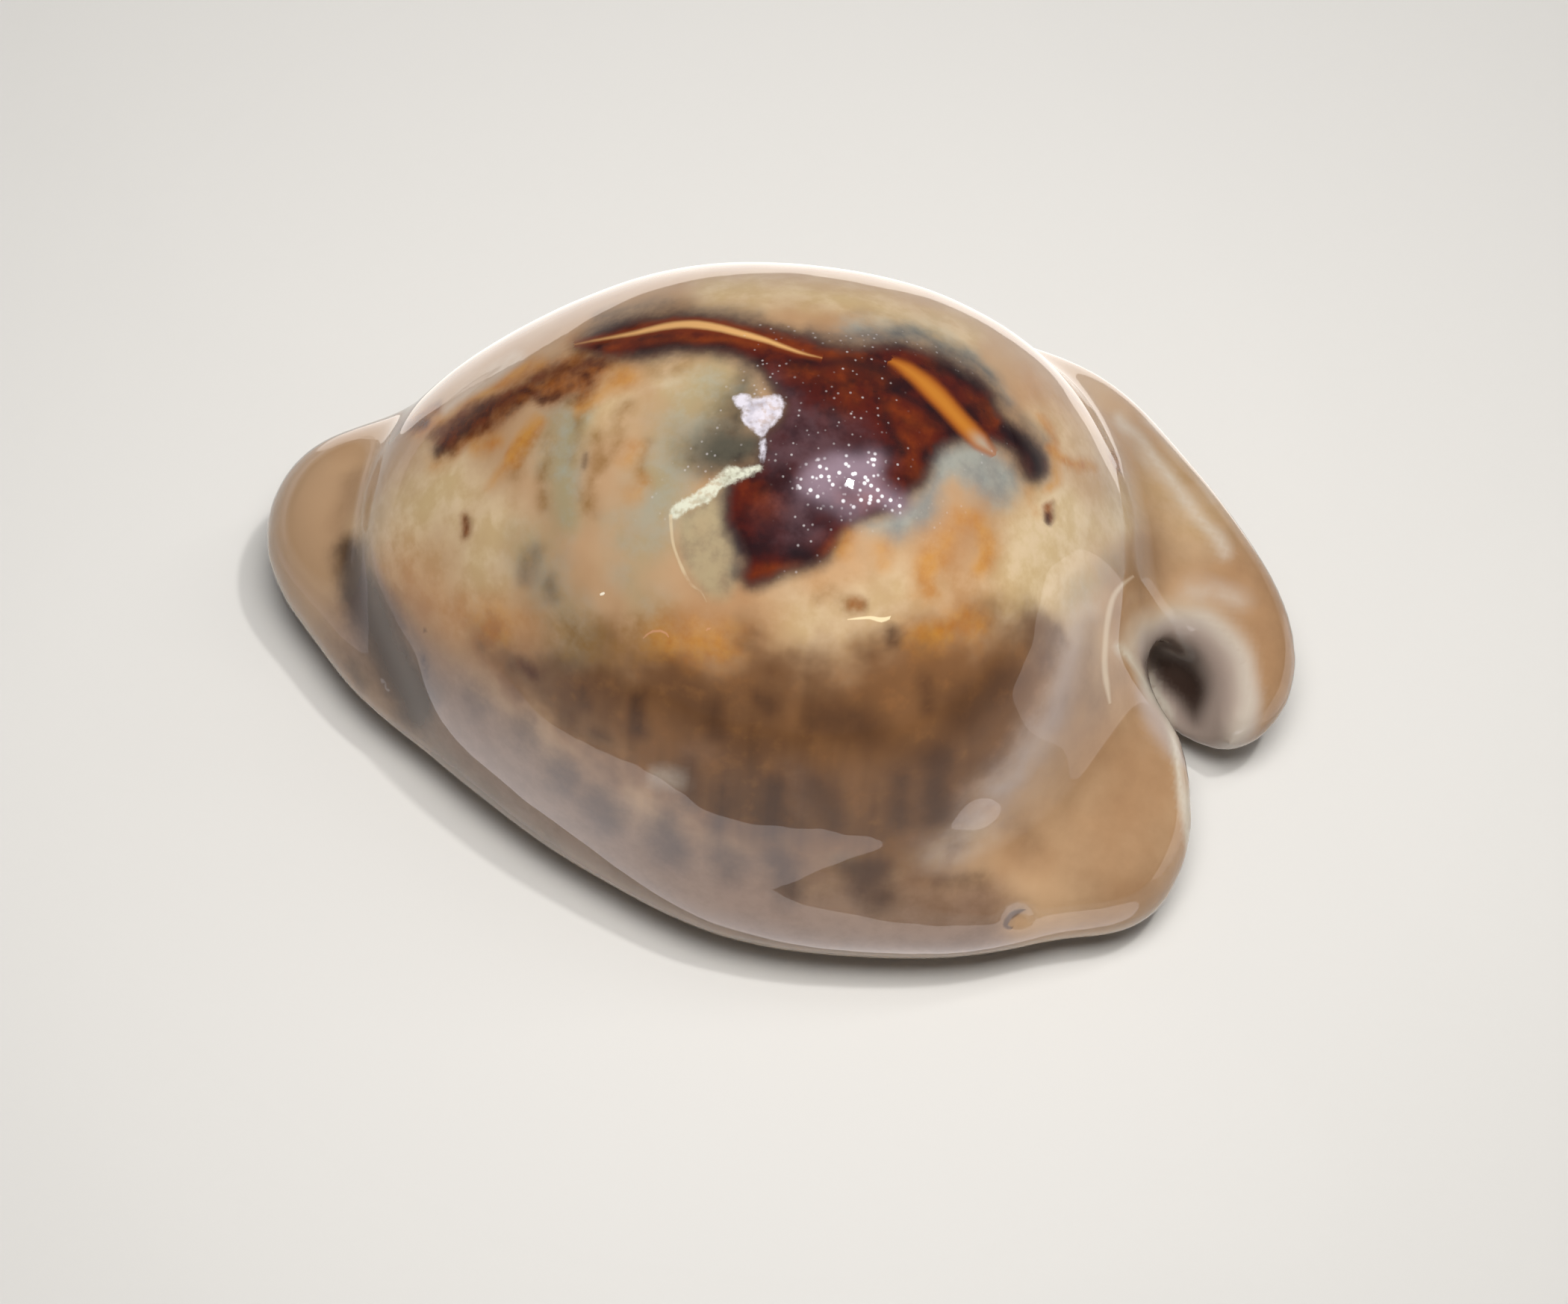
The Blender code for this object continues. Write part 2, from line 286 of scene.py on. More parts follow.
def wash(name, strokes, patches=(), elsewhere=0.0):
    """A soft tint. Each stroke is its strength, its half width, the width over which it fades, and its route.
    Each patch is its strength, the width over which it fades, and its outline. Widths and places are in
    pixels. The rest of the shell gets as much of the tint as elsewhere says."""
    bare = np.ones(len(points))
    for strength, half_width, fade, *route in strokes:
        if len(route) == 1:
            off = np.hypot(*(clouded_places - route[0]).T)
        else:
            off = np.abs(across(curve_through(route, per_span=3), clouded_places)[0])
        bare *= 1 - strength * soft_step(0.5 + (half_width - off) / fade)
    for strength, fade, outline in patches:
        bare *= 1 - strength * soft_step(0.5 + within(outline, clouded_places) / PIXELS_TO_MM / fade)
    keep(name, np.maximum((1 - bare) * in_sight, elsewhere))


def ribbon(name, route, half_widths):
    """A narrow mark along a route, kept as its half width beside each point and as the point's signed
    distance from its middle, both in millimetres. Past its ends and out of sight the width is below 0."""
    side, share = across(curve_through(route), places)
    run = np.linspace(0, 1, len(half_widths))
    keep(name + "_side", np.clip(side * PIXELS_TO_MM, -FARTHEST, FARTHEST))
    ends = np.where((share <= 0) | (share >= 1), -1.0, 0.0)
    keep(name + "_width", np.where(shown, np.interp(share, run, half_widths), -1.0) + ends)


# The blotch: a dark red-brown cloud in the glaze that spreads from the mantle line over the back, with an arm
# that runs on beside the line and ends in a round knob. The animal laid it down as colour in its last coats.
BLOTCH = (
    (772, 462), (806, 437), (850, 426), (891, 422), (933, 421), (974, 427), (1016, 434), (1057, 443),
    (1090, 454), (1115, 461), (1145, 464), (1173, 462), (1202, 459), (1231, 466), (1265, 478),
    (1289, 493), (1314, 508), (1331, 527), (1339, 550), (1349, 562), (1368, 575), (1389, 595),
    (1402, 614), (1402, 633), (1389, 643), (1376, 639), (1367, 625), (1358, 608), (1340, 596),
    (1310, 588), (1285, 591), (1262, 599), (1251, 613), (1246, 630), (1236, 649), (1217, 662),
    (1207, 680), (1182, 687), (1157, 695), (1140, 704), (1122, 727), (1107, 748), (1082, 760),
    (1057, 765), (1032, 777), (1006, 785), (994, 774), (997, 755), (988, 732), (976, 704), (972, 672),
    (978, 648), (997, 632), (1016, 622), (1021, 600), (1026, 577), (1042, 562), (1049, 543), (1038, 528),
    (1028, 512), (1016, 496), (995, 482), (966, 474), (933, 471), (891, 474), (850, 481), (812, 482),
    (785, 474),
)
keep("blotch", within(BLOTCH))
wash("glow", (
    (0.85, 10, 44, (1137, 537)),
    (0.8, 9, 40, (1196, 548), (1226, 570), (1244, 582)),
    (0.65, 8, 30, (1212, 590), (1228, 634)),
    (0.7, 6, 22, (1296, 530), (1322, 552), (1332, 566)),
    (0.5, 6, 26, (1215, 476), (1245, 482), (1262, 492)),
    (0.9, 5, 18, (815, 468), (870, 460), (925, 453), (975, 456), (1016, 466)),
    (0.9, 4, 14, (860, 434), (930, 428), (1000, 436), (1060, 452)),
    (0.85, 6, 22, (1030, 449), (1075, 462), (1110, 476), (1150, 480)),
    (0.45, 12, 44, (1010, 662), (1036, 690)),
    (0.8, 7, 22, (1006, 778), (1036, 764), (1068, 757)),
    (0.7, 6, 22, (1100, 742), (1128, 720), (1140, 708)),
    (0.6, 8, 28, (1060, 500), (1100, 505), (1150, 500), (1185, 505)),
    (0.5, 10, 34, (1130, 660), (1165, 655)),
))
wash("veil", (
    (0.8, 42, 60, (1050, 590), (1100, 600), (1120, 640), (1080, 680), (1060, 700)),
    (0.5, 14, 36, (1040, 512), (1065, 540), (1080, 570)),
    (0.4, 16, 40, (1150, 580), (1180, 620)),
))
wash("ink", (
    (0.8, 12, 26, (1003, 745), (1024, 738)),
    (0.85, 12, 24, (1064, 738), (1084, 748)),
    (0.7, 8, 22, (985, 484), (1006, 500), (1022, 512)),
    (0.8, 9, 20, (1190, 460), (1222, 464)),
    (0.9, 9, 22, (1262, 490), (1290, 504), (1306, 520)),
    (0.95, 11, 18, (1348, 574), (1368, 590), (1384, 612), (1388, 630)),
    (0.7, 6, 18, (1194, 517), (1232, 540), (1259, 560), (1284, 584)),
    (0.7, 5, 16, (850, 474), (890, 468), (930, 464), (975, 468)),
    (0.6, 7, 22, (1098, 488), (1140, 488), (1180, 494)),
    (0.6, 5, 14, (1240, 600), (1234, 616)),
    (0.7, 5, 14, (1186, 560), (1206, 610)),
))
wash("fringe", (
    (0.6, 7, 26, (800, 428), (850, 414), (900, 408), (960, 414), (1010, 420)),
    (0.75, 8, 26, (1090, 444), (1140, 452), (1190, 446), (1240, 452), (1290, 478), (1330, 508)),
    (0.7, 8, 26, (982, 690), (986, 730), (984, 768)),
    (0.6, 7, 22, (1336, 530), (1372, 566), (1400, 590)),
    (0.5, 6, 20, (1010, 522), (1024, 540)),
))
wash("pitted", (
    (1.0, 44, 34, (1080, 560), (1110, 610), (1140, 660)),
    (1.0, 40, 34, (1150, 500), (1180, 600), (1150, 680)),
    (0.9, 30, 34, (1020, 470), (1080, 700), (1060, 740)),
    (0.8, 26, 40, (884, 676), (930, 636), (966, 590), (990, 545), (1000, 510)),
    (0.7, 12, 30, (1020, 440), (1090, 448), (1190, 452), (1290, 486)),
    (0.6, 16, 40, (1250, 700), (1290, 650), (1340, 600)),
))
# Painted highlight: the place on the back where the small lamp's reflection breaks up into a haze and glints.
wash("painted_lamp_highlight", (
    (1.0, 20, 44, (1098, 640), (1126, 626), (1160, 622)),
    (0.9, 15, 40, (1160, 644), (1188, 664), (1206, 674)),
    (0.6, 22, 50, (1090, 656), (1140, 674)),
))

# The mantle line: where the two lobes of the animal's mantle met, and little glaze was laid. It shows in two
# parts.
ribbon("line_front", (
    (766, 462), (790, 457), (812, 453), (850, 446), (891, 437), (925, 434), (958, 438), (991, 446),
    (1024, 455), (1049, 464), (1075, 473), (1104, 480)),
    (0.0, 0.05, 0.1, 0.16, 0.19, 0.17, 0.13, 0.08, 0.0))
ribbon("line_back", (
    (1190, 482), (1208, 490), (1230, 506), (1254, 528), (1277, 553), (1298, 576), (1316, 594),
    (1334, 610)),
    (0.0, 0.2, 0.3, 0.33, 0.31, 0.3, 0.28, 0.0))
wash("line_end", (
    (1.0, 14, 40, (1316, 594), (1340, 616)),
))

# Scars: two chalky patches where the glaze is chipped away, a crack that runs down from them and a scratch on
# the flank. Then a painted highlight: a pale line down the crease between the back and the hook.
CHALK_WHITE = (
    (981, 533), (990, 528), (1005, 530), (1020, 532), (1036, 530), (1048, 532), (1051, 546), (1044, 562),
    (1034, 573), (1027, 581), (1026, 600), (1022, 621), (1017, 618), (1019, 598), (1016, 583),
    (1001, 572), (992, 561), (995, 549), (986, 545),
)
CHALK_CREAM = (
    (1019, 622), (1008, 622), (995, 629), (974, 625), (954, 645), (933, 658), (912, 671), (899, 683),
    (901, 693), (912, 690), (925, 680), (949, 671), (963, 656), (987, 643), (1017, 631),
)
keep("chalk_white", within(CHALK_WHITE))
keep("chalk_cream", within(CHALK_CREAM))
ribbon("crack", (
    (898, 688), (899, 706), (902, 730), (912, 757), (925, 782), (938, 791), (947, 807)),
    (0.08, 0.06, 0.05, 0.07, 0.05, 0.0))
ribbon("scratch", (
    (1130, 830), (1150, 828), (1166, 827), (1181, 830), (1197, 825)),
    (0.0, 0.05, 0.07, 0.12, 0.04))
# Painted highlight: a light's reflection as a thin pale line down the crease between the back and the hook.
ribbon("painted_crease_highlight", (
    (1520, 770), (1502, 784), (1490, 802), (1483, 834), (1480, 870), (1480, 900), (1487, 945)),
    (0.0, 0.08, 0.1, 0.09, 0.1, 0.1, 0.0))
wash("glass", (), (
    (0.8, 22, (
        (1020, 632), (985, 640), (950, 662), (912, 688), (906, 730), (925, 770), (950, 796), (985, 790),
        (985, 730), (975, 680))),
))

# Broad tints in the glaze: cream, peach, brown, green-grey and blue-grey clouds, amber streaks and spots.
# On the far side, which isn't seen, the brown of the flank and the darker tint below it go on round. There
# the brown fades in over the first two heights and out over the last two.
BROWN_BAND = (5, 10, 15, 21)
LOW_BAND = (4, 8)
far_side = soft_step((0.3 - facing) / 0.5)
height = points[:, 2]
brown_above = soft_step((height - BROWN_BAND[0]) / (BROWN_BAND[1] - BROWN_BAND[0]))
brown_below = soft_step((BROWN_BAND[3] - height) / (BROWN_BAND[3] - BROWN_BAND[2]))
far_umber = far_side * brown_above * brown_below * 0.85
far_low = far_side * soft_step((LOW_BAND[1] - height) / (LOW_BAND[1] - LOW_BAND[0])) * 0.7
wash("cream", (
    (0.9, 46, 90, (600, 650), (560, 690), (540, 720)),
    (0.75, 40, 80, (660, 700), (640, 780)),
    (0.7, 34, 70, (900, 510), (950, 520)),
    (0.6, 30, 60, (820, 540), (790, 560)),
    (0.95, 62, 90, (1370, 790), (1400, 730), (1420, 700)),
    (0.8, 20, 44, (950, 392), (1060, 392), (1140, 402), (1230, 430), (1290, 452)),
    (0.9, 22, 46, (1400, 560), (1450, 600), (1490, 660), (1500, 700)),
    (0.55, 40, 80, (1560, 640), (1600, 700)),
    (0.6, 50, 90, (1080, 830), (1180, 800), (1220, 790)),
    (0.5, 26, 60, (1440, 800), (1450, 850)),
    (0.5, 20, 50, (1130, 1150), (1240, 1140), (1300, 1110)),
))
wash("peach", (
    (0.8, 40, 100, (540, 760), (590, 820), (670, 850)),
    (0.5, 40, 90, (900, 850), (1000, 840)),
    (0.5, 40, 80, (1260, 730), (1300, 790), (1250, 840)),
    (0.5, 26, 60, (1380, 520), (1440, 570), (1470, 640)),
    (0.5, 20, 50, (1100, 780), (1140, 760)),
))
wash("umber", (
    (0.6, 26, 60, (650, 862), (700, 890), (760, 900)),
    (0.6, 24, 60, (1250, 850), (1320, 830), (1390, 846)),
    (0.5, 20, 50, (1100, 872), (1180, 862)),
), (
    (0.95, 120, (
        (680, 905), (740, 892), (800, 862), (850, 880), (900, 852), (960, 872), (1010, 846), (1060, 880),
        (1120, 890), (1180, 860), (1230, 838), (1290, 850), (1340, 826), (1405, 850), (1424, 910),
        (1400, 980), (1350, 1040), (1290, 1100), (1255, 1160), (1180, 1186), (1060, 1172), (960, 1136),
        (860, 1070), (760, 990), (700, 940))),
), elsewhere=far_umber)
wash("lavender", (
    (0.95, 60, 80, (500, 860), (570, 930), (660, 1020), (760, 1100), (880, 1170), (1010, 1220),
     (1150, 1236), (1300, 1236)),
    (0.4, 16, 40, (920, 1010), (950, 1000)),
    (0.4, 16, 40, (1070, 1030), (1080, 1080)),
    (0.5, 18, 44, (1226, 1130), (1236, 1160)),
), elsewhere=far_low)
wash("stripe", (
    (0.65, 10, 44, (1446, 840), (1434, 890), (1412, 950), (1376, 1010), (1340, 1056)),
    (0.5, 24, 70, (1450, 820), (1430, 910), (1390, 1000), (1320, 1080), (1270, 1140)),
))
wash("green_grey", (
    (0.95, 22, 44, (772, 545), (760, 600), (754, 650), (758, 690)),
    (0.6, 16, 44, (742, 560), (730, 620)),
    (0.6, 30, 70, (712, 735), (738, 785), (770, 850)),
    (0.5, 26, 60, (830, 700), (850, 780), (880, 820)),
    (0.75, 46, 70, (940, 540), (910, 590), (890, 640)),
    (0.7, 26, 60, (890, 660), (870, 720)),
    (0.6, 18, 50, (960, 500), (990, 520)),
    (0.4, 14, 44, (1440, 800), (1490, 760)),
))
wash("olive", (
    (0.8, 5, 30, (735, 592), (733, 620), (726, 640), (725, 672)),
    (0.9, 7, 34, (802, 584), (804, 612), (792, 640), (788, 660), (790, 684)),
    (0.7, 5, 30, (842, 548), (828, 574), (824, 596), (808, 618)),
    (0.6, 4, 26, (866, 592), (856, 620), (857, 648)),
    (0.7, 5, 28, (712, 584), (700, 606), (690, 634)),
    (0.6, 5, 26, (772, 556), (776, 584), (768, 610)),
    (0.5, 8, 24, (872, 500), (920, 486)),
    (0.6, 24, 50, (760, 850), (800, 862), (860, 852)),
    (0.7, 10, 26, (1128, 806), (1146, 814)),
    (0.5, 8, 22, (1110, 790), (1096, 800)),
))
wash("blue_grey", (), (
    (0.95, 46, (
        (1243, 608), (1268, 592), (1306, 592), (1340, 606), (1362, 643), (1356, 672), (1334, 674),
        (1306, 658), (1278, 642), (1262, 664), (1240, 700), (1211, 720), (1176, 712), (1156, 698),
        (1198, 680), (1228, 660), (1241, 634))),
    (0.7, 40, (
        (1130, 434), (1180, 428), (1240, 436), (1290, 462), (1330, 500), (1350, 536), (1330, 520),
        (1280, 480), (1220, 460), (1150, 456))),
))
wash("slate", (
    (0.7, 10, 30, (1000, 500), (992, 528), (982, 560)),
    (0.45, 26, 60, (930, 600), (960, 580), (975, 548)),
    (0.6, 8, 26, (996, 660), (985, 700), (990, 740)),
), (
    (0.95, 46, (
        (985, 566), (1016, 574), (1026, 598), (1020, 622), (1000, 626), (970, 632), (948, 630),
        (936, 610), (946, 584), (965, 570))),
))
wash("amber", (
    (0.75, 10, 34, (1308, 694), (1324, 724), (1320, 758)),
    (0.5, 8, 30, (1284, 690), (1266, 720), (1256, 760)),
    (0.75, 11, 30, (1243, 748), (1240, 790)),
    (0.6, 12, 34, (1181, 728), (1182, 752)),
    (0.75, 9, 28, (1139, 712), (1124, 742)),
    (0.6, 20, 50, (1240, 850), (1300, 838)),
    (0.8, 8, 20, (724, 564), (706, 586), (690, 610)),
    (0.8, 10, 26, (560, 580), (590, 560), (630, 536), (680, 506), (720, 490)),
    (0.7, 9, 26, (770, 540), (800, 526), (840, 506)),
    (0.6, 8, 24, (640, 600), (668, 586)),
    (0.6, 5, 18, (690, 610), (672, 632), (657, 656)),
    (0.6, 10, 30, (848, 598), (840, 616)),
    (0.55, 10, 30, (856, 648), (846, 664)),
    (0.95, 5, 14, (1404, 600), (1422, 612), (1440, 618), (1466, 632)),
    (0.8, 6, 18, (1392, 560), (1412, 590), (1416, 640), (1404, 652)),
    (0.5, 6, 20, (1376, 655), (1392, 690)),
    (0.5, 20, 50, (640, 824), (664, 834)),
    (0.6, 26, 60, (900, 850), (960, 860)),
    (0.8, 8, 22, (548, 560), (566, 552)),
    (0.5, 10, 30, (586, 620), (600, 600)),
    (0.5, 16, 40, (780, 470), (840, 500)),
))
wash("rust", (
    (0.9, 7, 14, (545, 566), (552, 574), (566, 568)),
    (0.9, 7, 16, (624, 692), (623, 714)),
    (0.95, 5, 9, (1407, 676), (1411, 692)),
    (0.8, 4, 10, (1490, 610), (1498, 626)),
    (0.8, 5, 14, (540, 574), (556, 560), (584, 544)),
    (0.6, 8, 20, (700, 890), (712, 900)),
    (0.6, 7, 20, (1140, 810), (1150, 812)),
), (
    (0.9, 26, (
        (686, 524), (700, 512), (712, 501), (739, 487), (766, 476), (785, 470), (803, 474), (818, 486),
        (808, 506), (789, 523), (765, 533), (739, 541), (712, 537), (694, 541))),
    (0.8, 18, (
        (588, 598), (578, 586), (600, 562), (640, 540), (690, 520), (704, 540), (672, 570), (640, 590),
        (606, 606))),
))
wash("wine", (
    (0.8, 6, 16, (770, 500), (788, 506)),
    (0.9, 6, 16, (606, 584), (630, 578), (654, 566)),
    (0.9, 6, 16, (700, 524), (720, 532), (744, 530)),
    (0.7, 5, 16, (720, 506), (756, 492), (790, 486)),
    (0.8, 6, 18, (586, 606), (600, 600)),
    (0.9, 4, 8, (1409, 688), (1409, 697)),
    (0.5, 4, 8, (624, 704), (623, 708)),
), (
    (0.9, 24, (
        (590, 584), (606, 566), (633, 545), (664, 530), (694, 518), (699, 525), (680, 540), (668, 556),
        (660, 568), (643, 579), (626, 586), (606, 594), (592, 604), (584, 612), (584, 600))),
))

# The same soft spots go on round the margin and up the far side, where they are laid by chance.
SPOTS = 70
SPOT_HEIGHTS = (2.5, 15)
MARGIN_REACH = (25, 16)
MARGIN_SHARE = 0.62
chance = np.random.default_rng(7)
spots = np.zeros(len(points))
outward = np.hypot(points[:, 0] / MARGIN_REACH[0], points[:, 1] / MARGIN_REACH[1])
at_height = (height > SPOT_HEIGHTS[0]) & (height < SPOT_HEIGHTS[1])
outer = np.flatnonzero((far_side > 0.5) & at_height & (outward > MARGIN_SHARE))
for _ in range(SPOTS):
    middle = points[outer[chance.integers(len(outer))]]
    reach = points - middle
    size = np.hypot(reach[:, 0] / chance.uniform(0.5, 0.9), reach[:, 2] / chance.uniform(0.8, 1.5))
    off = np.hypot(size, reach[:, 1] / 2)
    spots = np.maximum(spots, chance.uniform(0.35, 0.8) * soft_step(1.5 - off) * far_side)
wash("smudge", (
    (0.6, 18, 34, (631, 936), (640, 950)),
    (0.7, 18, 36, (699, 974), (708, 990)),
    (0.75, 19, 36, (748, 1022), (756, 1048)),
    (0.8, 21, 36, (798, 1072), (812, 1096)),
    (0.85, 22, 38, (886, 1110), (900, 1140)),
    (0.75, 20, 36, (966, 1144), (976, 1164)),
    (0.8, 22, 34, (1042, 1160), (1054, 1186)),
    (0.75, 22, 36, (1156, 1184), (1174, 1200)),
    (0.9, 12, 26, (858, 936), (854, 980)),
    (0.7, 14, 32, (916, 1030), (920, 1076)),
    (0.7, 11, 28, (968, 1060), (964, 1108)),
    (0.85, 17, 34, (1036, 1054), (1034, 1110)),
    (0.7, 22, 40, (1100, 1050), (1116, 1100)),
    (0.8, 20, 38, (1252, 1020), (1250, 1090)),
    (0.7, 13, 30, (1204, 1040), (1206, 1096)),
    (0.7, 13, 28, (1018, 936), (1034, 944)),
    (0.6, 12, 28, (957, 946), (958, 980)),
    (0.6, 11, 28, (1242, 912), (1244, 950)),
    (0.8, 10, 22, (1199, 846), (1198, 860)),
    (0.6, 9, 24, (784, 924), (788, 946)),
    (0.7, 10, 26, (690, 890), (712, 900)),
    (0.7, 9, 24, (796, 984), (814, 992)),
    (0.7, 14, 28, (1130, 1160), (1180, 1164)),
    (0.3, 22, 50, (1362, 1110), (1380, 1136)),
    (0.5, 9, 26, (1260, 1182), (1310, 1178)),
    (0.6, 22, 50, (1110, 960), (1160, 980)),
    (0.5, 20, 50, (1340, 900), (1300, 960)),
    (0.9, 2, 5, (568, 843), (569, 846)),
    (0.9, 3, 7, (566, 882), (572, 902)),
    (0.5, 10, 26, (712, 740), (706, 770)),
    (0.5, 9, 26, (738, 776), (744, 800)),
    (0.7, 4, 9, (785, 610), (783, 620)),
), elsewhere=spots)
# Painted shade: dark brown in the groove behind the front lobe and along the low front margin.
wash("groove_shade", (
    (0.95, 22, 36, (468, 740), (482, 790), (500, 850), (530, 910), (560, 955)),
    (0.75, 20, 44, (505, 800), (530, 860), (566, 925)),
    (0.5, 9, 30, (560, 985), (640, 1060), (740, 1140)),
    (0.6, 9, 26, (470, 896), (484, 916)),
    (0.5, 7, 20, (398, 850), (410, 880)),
))
# Painted shade: dull brown darkens the hollow behind the back, the valley beside the hook, a patch by the
# front groove, and the hook and the wing.
wash("painted_shade_wash", (
    (0.9, 34, 60, (1538, 745), (1528, 765)),
    (0.7, 12, 34, (1462, 840), (1456, 900), (1462, 940)),
    (0.5, 14, 40, (1500, 830), (1530, 800)),
    (0.5, 10, 30, (470, 640), (450, 700)),
    (0.45, 60, 80, (1520, 620), (1640, 760), (1720, 880), (1700, 960)),
    (0.45, 80, 80, (1500, 960), (1480, 1060), (1500, 1160)),
))
# Painted highlight: pale lines along the rim of the bowl and the right rim of the wing, where the lights
# catch their crests.
wash("painted_rim_highlight", (
    (0.6, 10, 44, (1511, 866), (1530, 840), (1560, 824), (1595, 820), (1636, 842), (1664, 880),
     (1672, 940), (1652, 988)),
    (0.85, 5, 14, (1500, 866), (1528, 900), (1550, 938), (1564, 965), (1574, 1000), (1584, 1060),
     (1594, 1120), (1590, 1170)),
))
# Painted highlight: pale milky streaks where the lights' reflections lie, along the crest of the hook, over
# the front of the back, and in small spots on the hook and the flank.
wash("painted_sheen", (
    (0.8, 8, 24, (1500, 560), (1540, 610), (1590, 670), (1640, 735)),
    (0.6, 5, 16, (1540, 560), (1590, 610), (1630, 660)),
    (0.5, 14, 40, (1600, 790), (1660, 800)),
    (0.7, 7, 20, (600, 545), (650, 505), (690, 478)),
    (0.5, 12, 22, (884, 1040), (900, 1044)),
))
wash("bowl_wall", (
    (1.0, 40, 26, (1560, 870), (1600, 860), (1640, 900), (1645, 950), (1620, 990)),
    (1.0, 60, 26, (1590, 930), (1610, 970)),
))
# Painted shade: dark brown inside the hole under the rim of the bowl, where little light reaches.
wash("painted_hole_shade", (
    (0.8, 16, 50, (1560, 905), (1590, 925)),
), (
    (0.95, 34, (
        (1536, 880), (1566, 872), (1596, 880), (1614, 905), (1614, 940), (1600, 972), (1584, 960),
        (1566, 930), (1548, 905))),
))
wash("lobe", (
    (0.9, 90, 80, (420, 700), (440, 780)),
))

# Small marks: a painted glint, two thin arcs, and the dark edge of the chip.
ribbon("painted_glint_dot", ((802, 797), (812, 793)), (0.03, 0.07, 0.03))
ribbon("arc", ((858, 858), (872, 846), (890, 846), (898, 858)), (0.0, 0.05, 0.05, 0.0))
ribbon("arc_small", ((944, 848), (950, 840), (957, 846)), (0.0, 0.05, 0.0))
ribbon("ring", ((1376, 1216), (1354, 1226), (1347, 1240), (1362, 1244)), (0.0, 0.14, 0.12, 0.0))

# Out of sight the callus of the base is pale cream. What lies behind a lip, low down, is a pale warm grey.
THROAT_HEIGHT = 14
keep("callus", soft_step((-normals[:, 2] - 0.1) / 0.55))
behind_lip = soft_step((facing - 0.05) / 0.2) * soft_step(1.2 - 2 * clear)
keep("throat", behind_lip * soft_step((THROAT_HEIGHT - height) / 3))


# The glaze: a clear gloss over colours that lie at different depths. Its base is a warm tan with clouds.
class Tap:
    """One output of the glaze's nodes. A sum written with it adds the Math nodes that work it out."""

    def __init__(self, socket):
        self.socket = socket

    def node(self, kind, settings, values, output=0):
        tree = self.socket.id_data
        made = tree.nodes.new(kind)
        for key, value in settings.items():
            setattr(made, key, value)
        for key, value in values.items():
            if isinstance(value, Tap):
                tree.links.new(value.socket, made.inputs[key])
            else:
                made.inputs[key].default_value = value
        return Tap(made.outputs[output])

    def math(self, operation, first, second):
        return self.node("ShaderNodeMath", {"operation": operation}, {0: first, 1: second})

    def __add__(self, other):
        return self.math("ADD", self, other)

    def __radd__(self, other):
        return self.math("ADD", other, self)

    def __sub__(self, other):
        return self.math("SUBTRACT", self, other)

    def __rsub__(self, other):
        return self.math("SUBTRACT", other, self)

    def __mul__(self, other):
        return self.math("MULTIPLY", self, other)

    def __rmul__(self, other):
        return self.math("MULTIPLY", other, self)

    def __abs__(self):
        return self.math("ABSOLUTE", self, 0.0)

    def step(self, low, high):
        """0 below low, 1 above high and smooth between them."""
        return self.node(
            "ShaderNodeMapRange", {"interpolation_type": "SMOOTHSTEP"}, {0: self, 1: low, 2: high})

    def noise(self, size, detail=2.0, roughness=0.5, stretch=(1, 1, 1)):
        """Clouds of that size in millimetres, from a place on the shell."""
        where = self.node("ShaderNodeMapping", {}, {0: self, 3: stretch})
        return self.node("ShaderNodeTexNoise", {}, {
            "Vector": where, "Scale": 1 / (size * MM), "Detail": detail, "Roughness": roughness})

    def cells(self, size, randomness=1.0):
        """How far a place is from the middle of its cell, with cells of that size in millimetres."""
        return self.node("ShaderNodeTexVoronoi", {"feature": "F1"}, {
            "Vector": self, "Scale": 1 / (size * MM), "Randomness": randomness})

    def over(self, ground, tint):
        """The tint laid over the ground, as much as this value says."""
        return self.node("ShaderNodeMix", {"data_type": "RGBA"}, {0: self, 6: ground, 7: tint}, output=2)


def tone(red, green, blue):
    """A colour picked on the usual 0 to 255 scale, turned into light by the usual curve."""
    light = [c / 3294.6 if c <= 10 else ((c / 255 + 0.055) / 1.055) ** 2.4 for c in (red, green, blue)]
    return (*light, 1.0)


glaze = bpy.data.materials.new("cowrie_glaze")
glaze.use_nodes = True
tree = glaze.node_tree
gloss = tree.nodes["Principled BSDF"]
place = Tap(tree.nodes.new("ShaderNodeTexCoord").outputs["Object"])


def amount(name):
    """The number that was kept under that name, point by point."""
    return place.node("ShaderNodeAttribute", {"attribute_name": name}, {}, output=2)


cloud = place.noise(5.0, 3.0)
fleck = place.noise(1.1, 3.0, 0.6)
grain = place.noise(0.28, 2.0)
streak = place.noise(2.4, 3.0, 0.55, stretch=(1.0, 0.16, 0.16))
ragged = fleck - 0.5
mottle = place.noise(1.7, 4.0, 0.6).step(0.36, 0.64)


def tinted(ground, name, colour, roughen=0.6, weight=1.0, second=None):
    """A wash of one colour, or of two in small clouds, with its edge broken up by the flecks."""
    held = amount(name)
    edge = held * (1 - held) * 4 * roughen
    if second:
        colour = mottle.over(colour, second)
    return ((held + edge * ragged) * weight).over(ground, colour)


